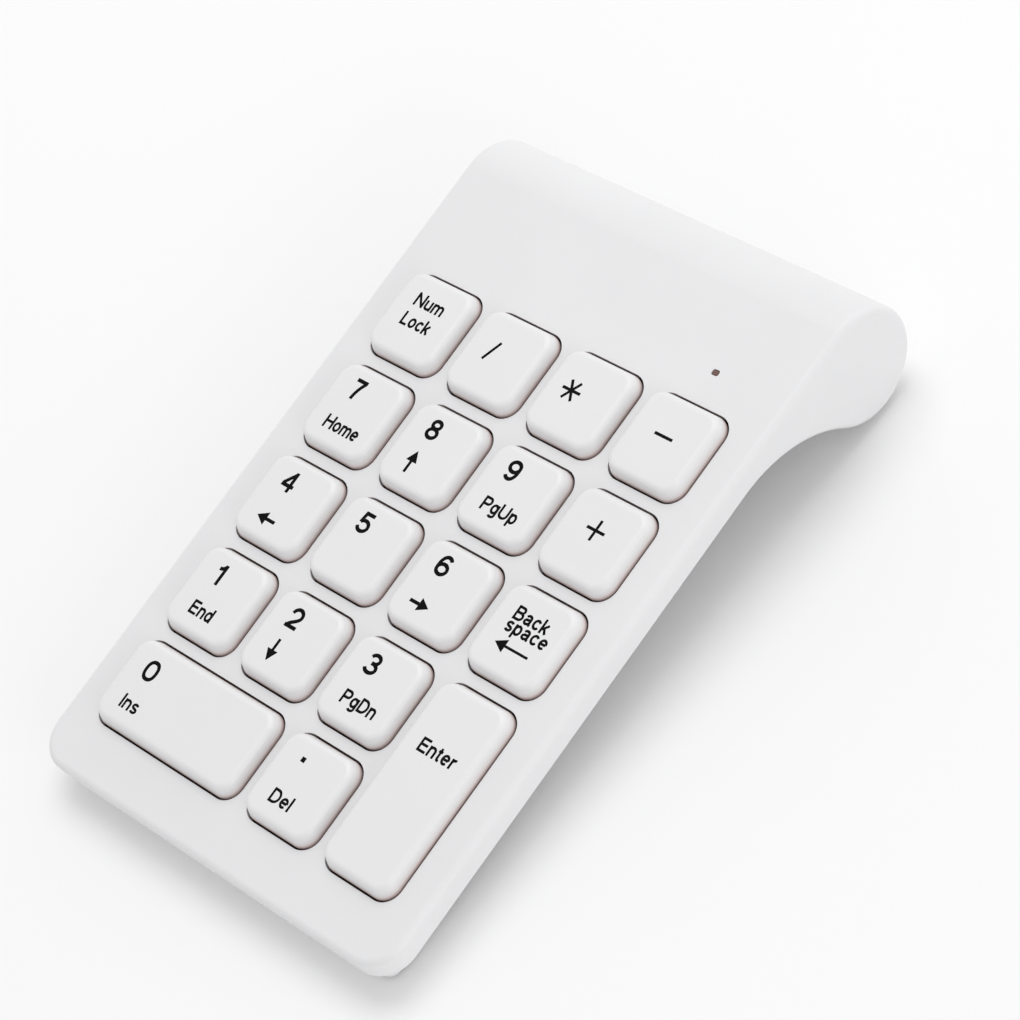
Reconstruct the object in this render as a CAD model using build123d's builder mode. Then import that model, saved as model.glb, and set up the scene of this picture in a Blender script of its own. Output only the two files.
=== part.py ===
from build123d import *
import math
import os

os.makedirs("parts", exist_ok=True)

# ---------------------------------------------------------------- driving dimensions (mm, degrees)
deck_tilt = 6.25          # the deck falls towards the user
deck_shift = 18.5265      # world position of the deck datum, so that the keypad is centred
deck_height = 17.85

case_half = 43.2          # half of the case width
front_edge = -85.9        # front face, measured along the deck
deck_wall = 1.4
skirt_wall = 1.5
skirt_low = -5.0          # lower edge of the side skirt
corner_radius = 6.5
edge_radius = 1.2

roll_y = 36.9             # axis of the rolled rear edge
roll_z = -10.4
roll_radius = 10.4
roll_wall = 1.4
cove_y = 8.0              # where the underside starts to sweep down into the roll
seam_angle = -15.0        # seam between the two case halves on the rear of the roll

key_pitch = 19.0
key_size = 16.25
key_opening = 16.95
key_height = 2.3
key_inset = 0.7
key_corner = 3.2
key_edge = 1.1
key_skirt = -0.4          # lower rim of a keycap
key_roof = 1.1            # underside of a keycap's roof
key_wall = 1.2
key_travel = 1.8
row_rear = 8.3            # deck position of the rear row of keys
plunger_radius = 3.0
plunger_low = -3.9
bore_radius = 3.08

guide_top = -2.6
guide_low = -3.6
dome_top = -3.95
sheet_top = -5.9
membrane_top_level = -6.2
film = 0.1
plate_top = -6.5
floor_top = -6.9
floor_low = -8.1
stack_half = 38.6         # half width of the sheets under the keys
stack_front = -77.2
stack_rear = 16.8

pan_top_half = 41.6       # bottom case where it nests inside the skirt
pan_low_half = 39.4       # bottom case at its floor
pan_front = -84.3
pan_rear = 20.0
rim_top = -3.9

pocket_radius = 7.6       # battery pocket inside the roll
pocket_wall = 1.2
door_half = 36.7
door_gap = 0.3
battery_radius = 7.1
battery_left = -35.3
battery_length = 50.2

board_left = -9.0
board_right = 35.4
board_front = 17.2
board_rear = 28.0
board_low = -6.2
board_top = -5.2

wire_radius = 0.5         # key stabilizers
arm_length = 7.0
arm_angle = 7.39
pivot_across = 5.5
pivot_level = -2.0
arm_along = 12.0

led_x = 27.4
led_y = 22.7
switch_x = 6.0
switch_y = 26.1
switch_travel = 3.0

screw_points = [(-36.4, -80.2), (0, -80.2), (36.4, -80.2), (-38.4, 20.4), (-14.0, 20.4), (38.4, 20.4)]
board_screw_points = [(-5.6, 25.0), (31.6, 25.0)]

# ---------------------------------------------------------------- planes
tilt = math.radians(deck_tilt)
deck = Plane(
    origin=(0, deck_shift, deck_height),
    x_dir=(1, 0, 0),
    z_dir=(0, -math.sin(tilt), math.cos(tilt)),
)
deck_axis = Axis(deck.origin, deck.z_dir)
side = Plane(origin=deck.origin, x_dir=deck.y_dir, z_dir=(1, 0, 0))   # local x is along the deck


def polar(centre, radius, angle):
    """A point on a circle, with the angle in degrees."""
    turn = math.radians(angle)
    return (centre[0] + radius * math.cos(turn), centre[1] + radius * math.sin(turn))


def finish(part, name):
    """Label a finished piece and write it."""
    part.label = name
    export_step(part, f"parts/{name}.step")
    print(f"{name:28s} {part.volume:10.1f} mm3")


roll_centre = (roll_y, roll_z)
cove_radius = ((roll_y - cove_y) ** 2 + (roll_z - skirt_low) ** 2 - roll_radius**2) / (
    2 * (roll_radius - roll_z + skirt_low)
)
cove_centre = (cove_y, skirt_low - cove_radius)
cove_angle = math.degrees(math.atan2(roll_z - cove_centre[1], roll_y - cove_y))
print("cove radius", round(cove_radius, 2), "tangent at", round(cove_angle, 1))

# ---------------------------------------------------------------- key layout
columns = [-28.5, -9.5, 9.5, 28.5]
rows = [row_rear - key_pitch * row for row in range(5)]
keys = {
    "key_num_lock": (columns[0], rows[0], 1, 1),
    "key_divide": (columns[1], rows[0], 1, 1),
    "key_multiply": (columns[2], rows[0], 1, 1),
    "key_minus": (columns[3], rows[0], 1, 1),
    "key_7": (columns[0], rows[1], 1, 1),
    "key_8": (columns[1], rows[1], 1, 1),
    "key_9": (columns[2], rows[1], 1, 1),
    "key_plus": (columns[3], rows[1], 1, 1),
    "key_4": (columns[0], rows[2], 1, 1),
    "key_5": (columns[1], rows[2], 1, 1),
    "key_6": (columns[2], rows[2], 1, 1),
    "key_back_space": (columns[3], rows[2], 1, 1),
    "key_1": (columns[0], rows[3], 1, 1),
    "key_2": (columns[1], rows[3], 1, 1),
    "key_3": (columns[2], rows[3], 1, 1),
    "key_enter": (columns[3], (rows[3] + rows[4]) / 2, 1, 2),
    "key_0": ((columns[0] + columns[1]) / 2, rows[4], 2, 1),
    "key_decimal": (columns[2], rows[4], 1, 1),
}
key_points = [(x, y) for x, y, wide, tall in keys.values()]
posts = [
    (columns[c] + key_pitch / 2, rows[r] - key_pitch / 2)
    for c in range(3)
    for r in range(4)
    if (c, r) not in [(0, 3), (2, 3)]
]


def key_span(count):
    return (count - 1) * key_pitch


# the stabilized keys: a plane at the key's centre with its x axis along the long side of the key
stabilized = {
    "key_0": Plane(deck.from_local_coords((keys["key_0"][0], keys["key_0"][1], 0)),
                   x_dir=deck.x_dir, z_dir=deck.z_dir),
    "key_enter": Plane(deck.from_local_coords((keys["key_enter"][0], keys["key_enter"][1], 0)),
                       x_dir=deck.y_dir, z_dir=deck.z_dir),
}
arm_rise = arm_length * math.sin(math.radians(arm_angle))
arm_reach = arm_length * math.cos(math.radians(arm_angle))
hook_across = pivot_across - arm_reach
hook_level = pivot_level + arm_rise

# ---------------------------------------------------------------- top case
with BuildPart() as top_case:
    # outer skin: the deck, the roll and the pear shaped ends
    with BuildSketch(side) as case_outline:
        with BuildLine():
            Line((front_edge, skirt_low), (front_edge, 0))
            Line((front_edge, 0), (roll_y, 0))
            ThreePointArc(
                (roll_y, 0),
                polar(roll_centre, roll_radius, (cove_angle - 180 + 90) / 2),
                polar(roll_centre, roll_radius, cove_angle - 180),
            )
            ThreePointArc(
                polar(cove_centre, cove_radius, cove_angle),
                polar(cove_centre, cove_radius, (cove_angle + 90) / 2),
                (cove_y, skirt_low),
            )
            Line((cove_y, skirt_low), (front_edge, skirt_low))
        make_face()
    extrude(amount=case_half, both=True)
    fillet(top_case.edges().filter_by(Axis(deck.origin, deck.z_dir)), corner_radius)
    deck_face = top_case.faces().sort_by(deck_axis)[-1]
    fillet(deck_face.edges().sort_by(Axis.Y)[0], edge_radius)
    # hollow, open below and up to the seam on the rear of the roll
    with BuildSketch(deck.offset(-deck_wall)) as front_hollow:
        with Locations((0, front_edge + skirt_wall + 30)):
            Rectangle(2 * (case_half - skirt_wall), 60)
        fillet(front_hollow.vertices().sort_by(Axis.Y)[:2], corner_radius - skirt_wall)
    extrude(amount=-10, mode=Mode.SUBTRACT)
    with BuildSketch(side) as rear_hollow:
        with BuildLine():
            Line((front_edge + 40, -40), (front_edge + 40, -deck_wall))
            Line((front_edge + 40, -deck_wall), (roll_y, -deck_wall))
            ThreePointArc(
                (roll_y, -deck_wall),
                polar(roll_centre, roll_radius - roll_wall, (seam_angle + 90) / 2),
                polar(roll_centre, roll_radius - roll_wall, seam_angle),
            )
            Line(
                polar(roll_centre, roll_radius - roll_wall, seam_angle),
                polar(roll_centre, roll_radius + 3, seam_angle),
            )
            Line(polar(roll_centre, roll_radius + 3, seam_angle), (roll_y + 14, -40))
            Line((roll_y + 14, -40), (front_edge + 40, -40))
        make_face()
    extrude(amount=case_half - skirt_wall, both=True, mode=Mode.SUBTRACT)
    # openings for the keys and the indicator
    with BuildSketch(deck) as openings:
        for x, y, wide, tall in keys.values():
            with Locations((x, y)):
                RectangleRounded(key_opening + key_span(wide), key_opening + key_span(tall), 3.5)
        with Locations((led_x, led_y)):
            RectangleRounded(1.5, 1.1, 0.4)
    extrude(amount=-deck_wall - 1, mode=Mode.SUBTRACT)
    # ribs that hold the guide plate: round the sides and the front, in tabs between the rear keys
    with BuildSketch(deck.offset(-deck_wall + 0.2)) as frame_rib:
        with Locations((0, (stack_front + stack_rear) / 2)):
            Rectangle(2 * stack_half, stack_rear - stack_front)
            Rectangle(2 * stack_half - 2.2, stack_rear - stack_front - 1.0, mode=Mode.SUBTRACT)
        with Locations((0, stack_rear)):
            Rectangle(2 * stack_half - 2.2, 4.0, mode=Mode.SUBTRACT)
        with Locations((-key_pitch, stack_rear - 0.6), (0, stack_rear - 0.6), (key_pitch, stack_rear - 0.6)):
            Rectangle(1.6, 1.2)
        with Locations(*posts):
            Circle(1.2)
    extrude(amount=guide_top + deck_wall - 0.2)
    # rib that squeezes the contact pressure strip
    with BuildSketch(deck.offset(-deck_wall + 0.2)) as strip_rib:
        with Locations((13.0, 19.1)):
            Rectangle(26.0, 1.6)
    extrude(amount=-3.6 + deck_wall - 0.2)
    # screw bosses
    with BuildSketch(deck.offset(-deck_wall + 0.2)) as bosses:
        with Locations(*screw_points):
            Circle(2.2)
    extrude(amount=-4.3 + deck_wall - 0.2)
    with BuildSketch(deck.offset(-4.3)) as boss_pilots:
        with Locations(*screw_points):
            Circle(1.05)
    extrude(amount=2.6, mode=Mode.SUBTRACT)
finish(top_case.part, "top_case")

# ---------------------------------------------------------------- bottom case

with BuildPart() as bottom_case:
    # pan under the keys, with flanks that run in towards the floor
    with BuildSketch(deck.offset(skirt_low)) as pan_upper:
        with Locations((0, (pan_front + pan_rear) / 2)):
            Rectangle(2 * pan_top_half, pan_rear - pan_front)
        fillet(pan_upper.vertices().sort_by(Axis.Y)[:2], 4.9)
    with BuildSketch(deck.offset(floor_low)) as pan_lower:
        with Locations((0, (pan_front + pan_rear) / 2)):
            Rectangle(2 * pan_low_half, pan_rear - pan_front)
        fillet(pan_lower.vertices().sort_by(Axis.Y)[:2], 2.0)
    loft()
    with BuildSketch(deck.offset(skirt_low)) as pan_rim:
        with Locations((0, (pan_front + cove_y) / 2)):
            Rectangle(2 * pan_top_half, cove_y - pan_front)
        fillet(pan_rim.vertices().sort_by(Axis.Y)[:2], 4.9)
    extrude(amount=rim_top - skirt_low)
    # wall that sweeps down from the pan and around the roll, up to the seam
    with BuildSketch(side) as cove_section:
        with BuildLine():
            ThreePointArc(
                (cove_y, skirt_low),
                polar(cove_centre, cove_radius, (cove_angle + 90) / 2),
                polar(cove_centre, cove_radius, cove_angle),
            )
            ThreePointArc(
                polar(roll_centre, roll_radius, cove_angle - 180),
                polar(roll_centre, roll_radius, (cove_angle - 180 + seam_angle - 0.5) / 2),
                polar(roll_centre, roll_radius, seam_angle - 0.5),
            )
            Line(
                polar(roll_centre, roll_radius, seam_angle - 0.5),
                polar(roll_centre, roll_radius - roll_wall, seam_angle - 0.5),
            )
            ThreePointArc(
                polar(roll_centre, roll_radius - roll_wall, seam_angle - 0.5),
                polar(roll_centre, roll_radius - roll_wall, (cove_angle - 180 + seam_angle - 0.5) / 2),
                polar(roll_centre, roll_radius - roll_wall, cove_angle - 180),
            )
            ThreePointArc(
                polar(cove_centre, cove_radius + roll_wall, cove_angle),
                polar(cove_centre, cove_radius + roll_wall, (cove_angle + 90) / 2),
                (cove_y, skirt_low + roll_wall),
            )
            Line((cove_y, skirt_low + roll_wall), (cove_y, skirt_low))
        make_face()
    extrude(amount=pan_top_half, both=True)
    # inside of the pan
    with BuildSketch(deck.offset(skirt_low)) as inside_upper:
        with Locations((0, (pan_front + 1.3 + pan_rear) / 2)):
            Rectangle(2 * pan_top_half - 2.6, pan_rear - pan_front - 1.3)
        fillet(inside_upper.vertices().sort_by(Axis.Y)[:2], 3.6)
    with BuildSketch(deck.offset(floor_top)) as inside_lower:
        with Locations((0, (pan_front + 1.3 + pan_rear) / 2)):
            Rectangle(2 * stack_half + 0.5, pan_rear - pan_front - 1.3)
        fillet(inside_lower.vertices().sort_by(Axis.Y)[:2], 1.5)
    loft(mode=Mode.SUBTRACT)
    with BuildSketch(deck.offset(skirt_low)) as inside_rim:
        with Locations((0, (pan_front + 1.3 + pan_rear) / 2)):
            Rectangle(2 * pan_top_half - 2.6, pan_rear - pan_front - 1.3)
        fillet(inside_rim.vertices().sort_by(Axis.Y)[:2], 3.6)
    extrude(amount=3, mode=Mode.SUBTRACT)
    # battery pocket, closed above and open to the underside
    with BuildSketch(side.offset(-pan_top_half)) as pocket_section:
        with Locations(roll_centre):
            Circle(9.7)
        with Locations((roll_y, roll_z - 5.8)):
            Rectangle(2 * (pocket_radius + pocket_wall), 6, mode=Mode.INTERSECT)
        with Locations((roll_y, roll_z - 1.3)):
            Rectangle(2 * (pocket_radius + pocket_wall) - 0.4, 2.6)
        with Locations(roll_centre):
            Circle(pocket_radius + pocket_wall)
            Circle(pocket_radius, mode=Mode.SUBTRACT)
        with Locations((roll_y, roll_z - 6)):
            Rectangle(2 * pocket_radius, 12, mode=Mode.SUBTRACT)
    extrude(amount=pan_top_half + 38.6)
    # mouth of the pocket
    with BuildSketch(side.offset(-door_half - door_gap)) as pocket_mouth:
        with Locations((roll_y, roll_z - 9.8)):
            Rectangle(2 * pocket_radius, 10)
    extrude(amount=2 * (door_half + door_gap), mode=Mode.SUBTRACT)
    # ends of the pocket and the partition between battery and receiver
    for left, thick in [(-pan_top_half, 1.2), (15.4, 1.4), (37.2, 1.4)]:
        with BuildSketch(side.offset(left)) as pocket_end:
            with Locations(roll_centre):
                Circle(8.9)
        extrude(amount=thick)
    # slots for the ears of the battery contacts
    with BuildSketch(side.offset(-40.4)) as spring_slot:
        with Locations((31.0, -4.6)):
            Rectangle(4.6, 1.9)
    extrude(amount=0.7, mode=Mode.SUBTRACT)
    with BuildSketch(side.offset(14.8)) as plate_slot:
        with Locations((31.0, -4.6)):
            Rectangle(4.6, 1.9)
    extrude(amount=0.6, mode=Mode.SUBTRACT)
    # ledge under the membrane tail and bosses for the main board
    with BuildSketch(deck.offset(floor_top - 0.3)) as tail_ledge:
        with Locations((13.0, 18.9)):
            Rectangle(27.0, 3.2)
    extrude(amount=plate_top - floor_top + 0.3)
    with BuildSketch(deck.offset(board_low)) as board_bosses:
        with Locations(*board_screw_points):
            Circle(2.1)
    extrude(amount=-3.9)
    with BuildSketch(deck.offset(board_low)) as board_pilots:
        with Locations(*board_screw_points):
            Circle(0.85)
    extrude(amount=-3.6, mode=Mode.SUBTRACT)
    # bosses and countersunk seats for the case screws
    with BuildSketch(deck.offset(-4.4)) as screw_bosses:
        with Locations(*screw_points):
            Circle(2.8)
    extrude(amount=floor_low + 0.2 + 4.4)
    with BuildSketch(deck.offset(-4.4)) as screw_holes:
        with Locations(*screw_points):
            Circle(1.2)
    extrude(amount=-5, mode=Mode.SUBTRACT)
    with BuildSketch(deck.offset(-6.8)) as screw_seats:
        with Locations(*screw_points):
            Circle(2.1)
    extrude(amount=-4, mode=Mode.SUBTRACT)
    # slot for the knob of the power switch
    with BuildSketch(deck.offset(-9.0)) as switch_slot:
        with Locations((switch_x, switch_y)):
            Rectangle(3.0 + switch_travel + 0.6, 2.2)
    extrude(amount=-7, mode=Mode.SUBTRACT)
finish(bottom_case.part, "bottom_case")

# ---------------------------------------------------------------- battery door
with BuildPart() as battery_door:
    with BuildSketch(side.offset(-door_half)) as door_section:
        with Locations(roll_centre):
            Circle(roll_radius)
            Circle(roll_radius - roll_wall, mode=Mode.SUBTRACT)
        with Locations((roll_y, roll_z - 8)):
            Rectangle(2 * (pocket_radius - door_gap), 12, mode=Mode.INTERSECT)
    extrude(amount=2 * door_half)
    # tongues that grip the walls of the pocket
    with BuildSketch(deck.offset(-13.8)) as tongues:
        with Locations((-12, roll_y), (26, roll_y)):
            Rectangle(8, 2 * 7.52)
            Rectangle(8, 2 * 6.52, mode=Mode.SUBTRACT)
    extrude(amount=-2.8)
    # finger grooves
    with BuildSketch(deck.offset(-25)) as grooves:
        with Locations((24.0, roll_y), (26.5, roll_y), (29.0, roll_y), (31.5, roll_y)):
            Rectangle(1.0, 9.0)
    extrude(amount=25 + roll_z - roll_radius + 0.45, mode=Mode.SUBTRACT)
finish(battery_door.part, "battery_door")

# ---------------------------------------------------------------- keycaps


def keycap(name):
    x, y, wide, tall = keys[name]
    size_x = key_size + key_span(wide)
    size_y = key_size + key_span(tall)
    with BuildPart() as cap:
        # straight lower rim, then a body that narrows to the top
        with BuildSketch(deck.offset(key_skirt)) as rim:
            with Locations((x, y)):
                RectangleRounded(size_x, size_y, key_corner)
        extrude(amount=-key_skirt)
        with BuildSketch(deck) as cap_foot:
            with Locations((x, y)):
                RectangleRounded(size_x, size_y, key_corner)
        with BuildSketch(deck.offset(key_height)) as cap_top:
            with Locations((x, y)):
                RectangleRounded(size_x - 2 * key_inset, size_y - 2 * key_inset, key_corner - 0.5)
        loft()
        fillet(cap.faces().sort_by(deck_axis)[-1].edges(), key_edge)
        # hollow underneath
        with BuildSketch(deck.offset(key_roof)) as cap_hollow:
            with Locations((x, y)):
                RectangleRounded(size_x - 2 * key_wall, size_y - 2 * key_wall, key_corner - 1)
        extrude(amount=-3, mode=Mode.SUBTRACT)
        # plunger with two guide ribs, and two barbs that catch under the guide plate
        with BuildSketch(deck.offset(key_roof + 0.3)) as plunger:
            with Locations((x, y)):
                Circle(plunger_radius)
        extrude(amount=plunger_low - key_roof - 0.3)
        with BuildSketch(deck.offset(key_roof + 0.3)) as ribs:
            with Locations((x, y)):
                Rectangle(1.0, 7.2)
        extrude(amount=guide_low - key_roof - 0.3)
        with BuildSketch(deck.offset(guide_low - 0.04)) as barbs:
            with Locations((x, y)):
                Rectangle(7.0, 1.6)
        extrude(amount=plunger_low - guide_low + 0.04)
        if name in stabilized:
            plane = stabilized[name]
            with BuildSketch(plane.offset(key_roof + 0.3)) as tabs:
                with Locations((-10.55, hook_across), (10.55, hook_across)):
                    Rectangle(0.9, 2.8)
            extrude(amount=-3.5)
            slot_plane = Plane(
                plane.from_local_coords((-12, hook_across - 0.03, hook_level)),
                x_dir=plane.y_dir,
                z_dir=plane.x_dir,
            )
            with BuildSketch(slot_plane) as hook_slot:
                Rectangle(1.26, 1.14)
            extrude(amount=24, mode=Mode.SUBTRACT)
            with BuildSketch(plane.offset(key_roof)) as refill:
                Circle(plunger_radius)
            extrude(amount=plunger_low - key_roof)
    finish(cap.part, name)


for name in keys:
    keycap(name)

# ---------------------------------------------------------------- key guide plate
with BuildPart() as key_guide_plate:
    with BuildSketch(deck.offset(guide_low)) as guide_sheet:
        with Locations((0, (stack_front + stack_rear) / 2)):
            Rectangle(2 * stack_half, stack_rear - stack_front)
    extrude(amount=guide_top - guide_low)
    with BuildSketch(deck.offset(guide_low)) as chimneys:
        with Locations(*key_points):
            Circle(4.4)
    extrude(amount=-1.1 - guide_low)
    # frame and posts that hold the dome sheet down
    with BuildSketch(deck.offset(guide_low)) as feet_ring:
        with Locations((0, (stack_front + stack_rear) / 2)):
            Rectangle(2 * stack_half, stack_rear - stack_front)
            Rectangle(2 * stack_half - 2.4, stack_rear - stack_front - 2.4, mode=Mode.SUBTRACT)
        with Locations(*posts):
            Circle(1.2)
    extrude(amount=sheet_top - guide_low)
    # bores and slots for the plungers
    with BuildSketch(deck.offset(guide_low - 0.5)) as bores:
        with Locations(*key_points):
            Circle(bore_radius)
            Rectangle(1.16, 7.6)
    extrude(amount=4, mode=Mode.SUBTRACT)
    for plane in stabilized.values():
        # clips for the wire and windows for its arms
        for along in (-7.0, 7.0):
            with BuildSketch(plane.offset(guide_top - 0.2)) as clip:
                with Locations((along, pivot_across)):
                    Rectangle(2.0, 1.9)
            extrude(amount=-1.0 - guide_top + 0.2)
        bar_plane = Plane(
            plane.from_local_coords((-9, pivot_across, pivot_level)), x_dir=plane.y_dir, z_dir=plane.x_dir
        )
        with BuildSketch(bar_plane) as bar_bore:
            Circle(wire_radius + 0.06)
            with Locations((0.8, 0)):
                Rectangle(1.6, 0.8)
        extrude(amount=18, mode=Mode.SUBTRACT)
        with BuildSketch(plane.offset(guide_low - 0.5)) as windows:
            with Locations((-11.3, 1.05), (11.3, 1.05)):
                Rectangle(3.4, 8.7)
        extrude(amount=2.0, mode=Mode.SUBTRACT)
finish(key_guide_plate.part, "key_guide_plate")

# ---------------------------------------------------------------- key stabilizer wires


def stabilizer(name, plane):
    corners = [
        (-10.0, hook_across, hook_level),
        (-arm_along, hook_across, hook_level),
        (-arm_along, pivot_across, pivot_level),
        (arm_along, pivot_across, pivot_level),
        (arm_along, hook_across, hook_level),
        (10.0, hook_across, hook_level),
    ]
    points = [plane.from_local_coords(corner) for corner in corners]
    with BuildPart() as wire:
        with BuildLine() as wire_path:
            FilletPolyline(*points, radius=0.8)
        with BuildSketch(Plane(points[0], z_dir=-plane.x_dir)) as wire_section:
            Circle(wire_radius)
        sweep()
    finish(wire.part, name)


stabilizer("stabilizer_wire_zero", stabilized["key_0"])
stabilizer("stabilizer_wire_enter", stabilized["key_enter"])

# ---------------------------------------------------------------- rubber dome sheet and films
with BuildPart() as rubber_dome_sheet:
    with BuildSketch(deck.offset(membrane_top_level)) as sheet:
        with Locations((0, (stack_front + stack_rear) / 2)):
            Rectangle(2 * stack_half, stack_rear - stack_front)
    extrude(amount=sheet_top - membrane_top_level)
    with BuildSketch(deck.offset(sheet_top)) as dome_feet:
        with Locations(*key_points):
            Circle(4.6)
    extrude(amount=dome_top - sheet_top, taper=45)
    with BuildSketch(deck.offset(membrane_top_level)) as dome_hollows:
        with Locations(*key_points):
            Circle(4.3)
    extrude(amount=1.75, taper=45, mode=Mode.SUBTRACT)
    with BuildSketch(deck.offset(dome_top)) as dome_pips:
        with Locations(*key_points):
            Circle(1.3)
    extrude(amount=-1.1)
finish(rubber_dome_sheet.part, "rubber_dome_sheet")

film_holes = {"membrane_top": 0, "membrane_spacer": 3.0, "membrane_bottom": 0}
for level, (name, hole) in enumerate(film_holes.items()):
    with BuildPart() as membrane:
        with BuildSketch(deck.offset(membrane_top_level - film * (level + 1))) as film_plan:
            with Locations((0, (stack_front + stack_rear) / 2)):
                Rectangle(2 * stack_half, stack_rear - stack_front)
            with Locations((13.0, stack_rear + 1.6)):
                Rectangle(22.0, 4.4)
            if hole:
                with Locations(*key_points):
                    Circle(hole, mode=Mode.SUBTRACT)
        extrude(amount=film)
    finish(membrane.part, name)

with BuildPart() as backing_plate:
    with BuildSketch(deck.offset(floor_top)) as plate_plan:
        with Locations((0, (stack_front + stack_rear) / 2)):
            RectangleRounded(2 * stack_half, stack_rear - stack_front, 1.0)
    extrude(amount=plate_top - floor_top)
finish(backing_plate.part, "backing_plate")

# ---------------------------------------------------------------- main board and what sits on it
with BuildPart() as main_board:
    with BuildSketch(deck.offset(board_low)) as board_plan:
        with Locations(((board_left + board_right) / 2, (board_front + board_rear) / 2)):
            RectangleRounded(board_right - board_left, board_rear - board_front, 0.8)
        with Locations(*board_screw_points):
            Circle(1.1, mode=Mode.SUBTRACT)
    extrude(amount=board_top - board_low)
finish(main_board.part, "main_board")

with BuildPart() as controller_chip:
    with BuildSketch(deck.offset(board_top)) as chip_plan:
        with Locations((16.0, 24.2)):
            Rectangle(6.0, 5.0)
    extrude(amount=1.0)
    chamfer(controller_chip.faces().sort_by(deck_axis)[-1].edges(), 0.15)
finish(controller_chip.part, "controller_chip")

with BuildPart() as crystal:
    with BuildSketch(deck.offset(board_top)) as crystal_plan:
        with Locations((7.0, 24.4)):
            RectangleRounded(5.0, 3.2, 0.8)
    extrude(amount=1.0)
finish(crystal.part, "crystal")

with BuildPart() as indicator_led:
    with BuildSketch(deck.offset(board_top)) as led_plan:
        with Locations((led_x, led_y)):
            Rectangle(1.6, 0.8)
    extrude(amount=0.6)
finish(indicator_led.part, "indicator_led")

with BuildPart() as led_light_pipe:
    with BuildSketch(deck.offset(-4.4)) as pipe_stem:
        with Locations((led_x, led_y)):
            Circle(1.2)
    extrude(amount=2.5)
    with BuildSketch(deck.offset(-deck_wall - 0.02)) as pipe_flange:
        with Locations((led_x, led_y)):
            RectangleRounded(3.6, 3.0, 0.5)
    extrude(amount=-0.7)
    with BuildSketch(deck.offset(-deck_wall - 0.02)) as pipe_nose:
        with Locations((led_x, led_y)):
            RectangleRounded(1.3, 0.9, 0.35)
    extrude(amount=deck_wall - 0.13)
finish(led_light_pipe.part, "led_light_pipe")

with BuildPart() as contact_pressure_strip:
    with BuildSketch(deck.offset(board_top)) as strip_plan:
        with Locations((13.0, 19.1)):
            Rectangle(24.0, 2.0)
    extrude(amount=-3.6 - board_top)
finish(contact_pressure_strip.part, "contact_pressure_strip")

# ---------------------------------------------------------------- power switch
with BuildPart() as power_switch_body:
    with BuildSketch(deck.offset(board_low)) as switch_plan:
        with Locations((switch_x, switch_y)):
            Rectangle(9.0, 3.4)
    extrude(amount=-2.6)
    with BuildSketch(deck.offset(board_low - 2.6)) as switch_groove:
        with Locations((switch_x, switch_y)):
            Rectangle(3.0 + switch_travel + 0.6, 2.2)
    extrude(amount=1.4, mode=Mode.SUBTRACT)
finish(power_switch_body.part, "power_switch_body")

with BuildPart() as power_switch_knob:
    with BuildSketch(deck.offset(board_low - 1.6)) as knob_plan:
        with Locations((switch_x - switch_travel / 2, switch_y)):
            Rectangle(3.0, 1.6)
    extrude(amount=-6.9)
finish(power_switch_knob.part, "power_switch_knob")

# ---------------------------------------------------------------- battery and its contacts
with BuildPart() as battery:
    with BuildSketch(side.offset(battery_left)) as battery_section:
        with Locations(roll_centre):
            Circle(battery_radius)
    extrude(amount=battery_length - 1.4)
    fillet(battery.edges().filter_by(GeomType.CIRCLE), 0.6)
    with BuildSketch(side.offset(battery_left + battery_length - 1.6)) as nub:
        with Locations(roll_centre):
            Circle(2.7)
    extrude(amount=1.6)
finish(battery.part, "battery")

with BuildPart() as battery_plate_contact:
    with BuildSketch(side.offset(14.95)) as plate_section:
        with Locations(roll_centre):
            Rectangle(9.0, 9.0)
        with Locations((32.6, -4.6)):
            Rectangle(7.0, 1.5)
        with Locations((34.6, -5.6)):
            Rectangle(3.0, 3.0)
    extrude(amount=0.4)
finish(battery_plate_contact.part, "battery_plate_contact")

with BuildPart() as battery_spring_contact:
    with BuildSketch(side.offset(-40.35)) as spring_plate:
        with Locations(roll_centre):
            Rectangle(9.0, 9.0)
        with Locations((32.6, -4.6)):
            Rectangle(7.0, 1.5)
        with Locations((34.6, -5.6)):
            Rectangle(3.0, 3.0)
    extrude(amount=0.4)
    # coil that presses on the flat end of the battery
    coil_start = side.offset(-39.8).from_local_coords((roll_y, roll_z, 0))
    with BuildLine() as coil_path:
        Helix(pitch=1.3, height=3.9, radius=3.6, center=coil_start, direction=(1, 0, 0), cone_angle=-8)
    with BuildSketch(Plane(coil_path.line @ 0, z_dir=coil_path.line % 0)) as coil_section:
        Circle(0.3)
    sweep(path=coil_path.line, is_frenet=True)
finish(battery_spring_contact.part, "battery_spring_contact")


def lead(name, corners, radius):
    points = [deck.from_local_coords(corner) for corner in corners]
    with BuildPart() as wire:
        with BuildLine() as route:
            FilletPolyline(*points, radius=radius)
        with BuildSketch(Plane(points[0], z_dir=points[1] - points[0])) as lead_section:
            Circle(0.5)
        sweep()
    finish(wire.part, name)


lead("lead_positive", [(15.15, 28.5, -3.3), (15.15, 26.0, -3.3), (12.0, 26.6, -3.3), (11.0, 26.7, -4.7)], 0.8)
lead("lead_negative", [(-40.15, 28.5, -3.3), (-38.0, 25.6, -3.3), (-10.0, 25.6, -3.3), (-8.0, 26.8, -4.7)], 1.0)

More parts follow.
